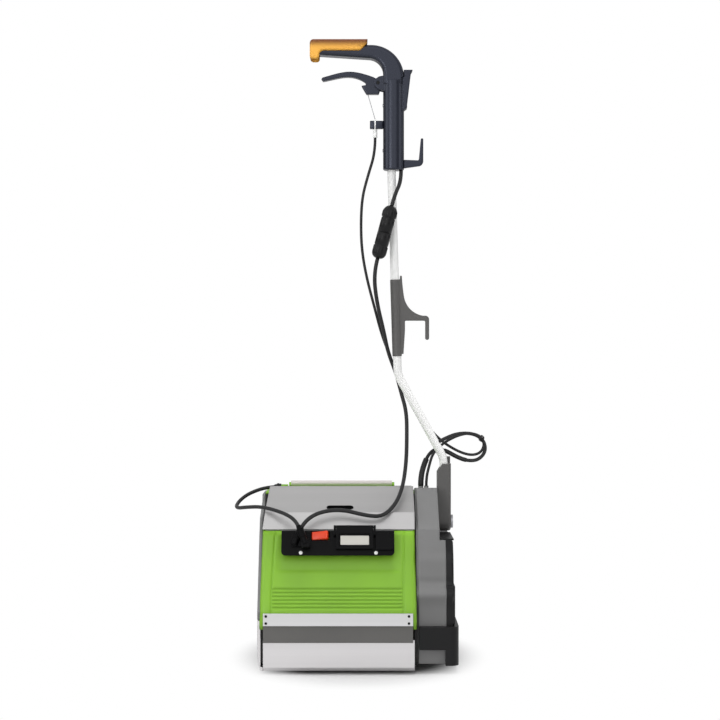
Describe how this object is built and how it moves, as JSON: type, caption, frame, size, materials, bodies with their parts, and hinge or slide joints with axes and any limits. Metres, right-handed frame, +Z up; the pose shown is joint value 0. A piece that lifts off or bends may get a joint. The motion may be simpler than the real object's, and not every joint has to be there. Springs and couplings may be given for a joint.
{
  "type": "twin roller floor cleaning machine",
  "caption": "Upright floor scrubber with contra-turning brush rollers and a pick-up drum in a green and grey body, a bent tube handle with a water lever and a grip bar.",
  "frame": {"origin": "centre of the machine without its leads, at floor level under the brush rollers", "axes": "+Z up; +X along the rollers towards the gear casing; -Y towards the front with the switch box"},
  "size_m": [0.4546, 0.3848, 1.1155],
  "materials": {
    "green_plastic": "satin moulded plastic",
    "grey_plastic": "fine textured plastic",
    "dark_grey_plastic": "fine textured plastic",
    "black_plastic": "fine textured plastic",
    "box_black": "smooth moulded plastic",
    "navy_plastic": "satin moulded plastic",
    "orange_plastic": "satin moulded plastic",
    "switch_red": "glossy plastic",
    "bright_metal": "satin sheet metal",
    "satin_metal": "satin anodised",
    "pale_panel": "smooth pale paint",
    "strip_metal": "plain metal",
    "blank_plate": "bare matt plate",
    "steel": "plain metal",
    "black_paint": "black coat",
    "white_paint": "powder coat",
    "grey_rubber": "matt rubber",
    "lead_rubber": "flexible sheath",
    "bush_brass": "turned metal",
    "tank_plastic": "blow moulded plastic",
    "core_plastic": "moulded plastic",
    "bristle": "nylon tufts",
    "gear_plastic": "moulded nylon",
    "motor_paint": "black paint"
  },
  "bodies": {
    "machine": {"left_side_plate": "black_paint", "left_end_cover": "grey_plastic", "left_end_guard": "pale_panel", "right_side_plate": "black_paint", "shaft_bushes": "bush_brass", "gear_casing": "grey_plastic", "side_cover": "black_plastic", "bumper_band": "black_plastic", "front_cover": "green_plastic", "rear_cover": "green_plastic", "skirts": "grey_rubber", "clamp_strips": "strip_metal", "splash_panels": "pale_panel", "panel_screws": "strip_metal", "top_bridge": "green_plastic", "switch_box": "box_black", "lead_gland": "box_black", "fresh_tank": "tank_plastic", "recovery_tank": "tank_plastic", "drive_motor": "motor_paint", "spray_bar": "steel", "handle_pivot": "steel", "lead_left": "lead_rubber", "front_top_cover": "bright_metal", "finger_slot": "box_black"},
    "handle": {"handle_arm": "dark_grey_plastic", "handle_tube": "white_paint", "hook_clamp": "dark_grey_plastic", "handle_housing": "navy_plastic", "housing_cover": "navy_plastic", "upper_hook": "navy_plastic", "handle_screws": "strip_metal", "cable_stop": "navy_plastic", "lever_pin": "black_paint", "connector_plug": "black_plastic", "connector_socket": "black_plastic", "lead_upper": "lead_rubber", "lead_lower": "lead_rubber", "bowden_outer": "lead_rubber", "bowden_inner": "steel", "tube_lead": "lead_rubber"},
    "lever": {"lever": "navy_plastic"},
    "grip_bar": {"grip_cover": "orange_plastic"},
    "rocker": {"rocker": "switch_red"},
    "flap": {"inlet_flap": "box_black", "flap_plate": "blank_plate"},
    "rear_lid": {"rear_lid": "bright_metal"},
    "bail": {"carry_bar": "satin_metal"},
    "front_brush": {"front_brush_core": "core_plastic", "front_brush_bristles": "bristle", "front_drive_gear": "gear_plastic"},
    "rear_brush": {"rear_brush_core": "core_plastic", "rear_brush_bristles": "bristle", "rear_drive_gear": "gear_plastic"},
    "pickup_drum": {"pickup_drum": "core_plastic", "drum_gear": "gear_plastic"},
    "compound": {"compound_gear": "gear_plastic"},
    "idler": {"idler_gear": "gear_plastic"},
    "top_idler": {"top_idler": "gear_plastic"},
    "motor_rotor": {"motor_pinion": "steel"}
  },
  "joints": [
    {"name": "handle_tilt", "type": "hinge", "parent": "machine", "child": "handle", "pos_m": [0.155, 0, 0.242], "axis": [1, 0, 0], "range_deg": [-70, 70], "deforming": ["lead_lower", "bowden_outer", "tube_lead"]},
    {"name": "lever_squeeze", "type": "hinge", "parent": "handle", "child": "lever", "pos_m": [0.0357, 0, 1.0375], "axis": [0, 1, 0], "range_deg": [0, 15], "stiffness_Nm_per_rad": 1.5, "springref_deg": -14.32, "deforming": ["bowden_inner"]},
    {"name": "grip_press", "type": "hinge", "parent": "handle", "child": "grip_bar", "pos_m": [0.002, 0, 1.1015], "axis": [0, -1, 0], "range_deg": [0, 3], "stiffness_Nm_per_rad": 6, "springref_deg": -5.73},
    {"name": "rocker_switch", "type": "hinge", "parent": "machine", "child": "rocker", "pos_m": [-0.065, -0.15066, 0.23229], "axis": [0, 0.3022, 0.9532], "range_deg": [0, 26]},
    {"name": "flap_open", "type": "hinge", "parent": "machine", "child": "flap", "pos_m": [-0.006, -0.15206, 0.24742], "axis": [-1, 0, 0], "range_deg": [0, 95]},
    {"name": "rear_lid_open", "type": "hinge", "parent": "machine", "child": "rear_lid", "pos_m": [-0.029, 0.049, 0.29448], "axis": [1, 0, 0], "range_deg": [0, 80]},
    {"name": "bail_lift", "type": "hinge", "parent": "machine", "child": "bail", "pos_m": [-0.0305, 0.03, 0.30548], "axis": [-1, 0, 0], "range_deg": [0, 95]},
    {"name": "front_brush_spin", "type": "hinge", "parent": "machine", "child": "front_brush", "pos_m": [0, -0.09375, 0.06], "axis": [1, 0, 0], "continuous": true},
    {"name": "rear_brush_spin", "type": "hinge", "parent": "machine", "child": "rear_brush", "pos_m": [0, 0.09375, 0.06], "axis": [1, 0, 0], "continuous": true},
    {"name": "pickup_drum_spin", "type": "hinge", "parent": "machine", "child": "pickup_drum", "pos_m": [0, 0, 0.12818], "axis": [1, 0, 0], "continuous": true},
    {"name": "compound_spin", "type": "hinge", "parent": "machine", "child": "compound", "pos_m": [0, -0.03125, 0.06], "axis": [1, 0, 0], "continuous": true},
    {"name": "idler_spin", "type": "hinge", "parent": "machine", "child": "idler", "pos_m": [0, 0.03125, 0.06], "axis": [1, 0, 0], "continuous": true},
    {"name": "top_idler_spin", "type": "hinge", "parent": "machine", "child": "top_idler", "pos_m": [0, 0, 0.20568], "axis": [1, 0, 0], "continuous": true},
    {"name": "motor_spin", "type": "hinge", "parent": "machine", "child": "motor_rotor", "pos_m": [0, 0, 0.25568], "axis": [1, 0, 0], "continuous": true}
  ],
  "couplings": [
    {"joint": "compound_spin", "follows": "front_brush_spin", "ratio": -1},
    {"joint": "idler_spin", "follows": "front_brush_spin", "ratio": 1},
    {"joint": "rear_brush_spin", "follows": "front_brush_spin", "ratio": -1},
    {"joint": "pickup_drum_spin", "follows": "front_brush_spin", "ratio": 0.66667},
    {"joint": "top_idler_spin", "follows": "front_brush_spin", "ratio": -0.92308},
    {"joint": "motor_spin", "follows": "front_brush_spin", "ratio": 1.7143}
  ]
}
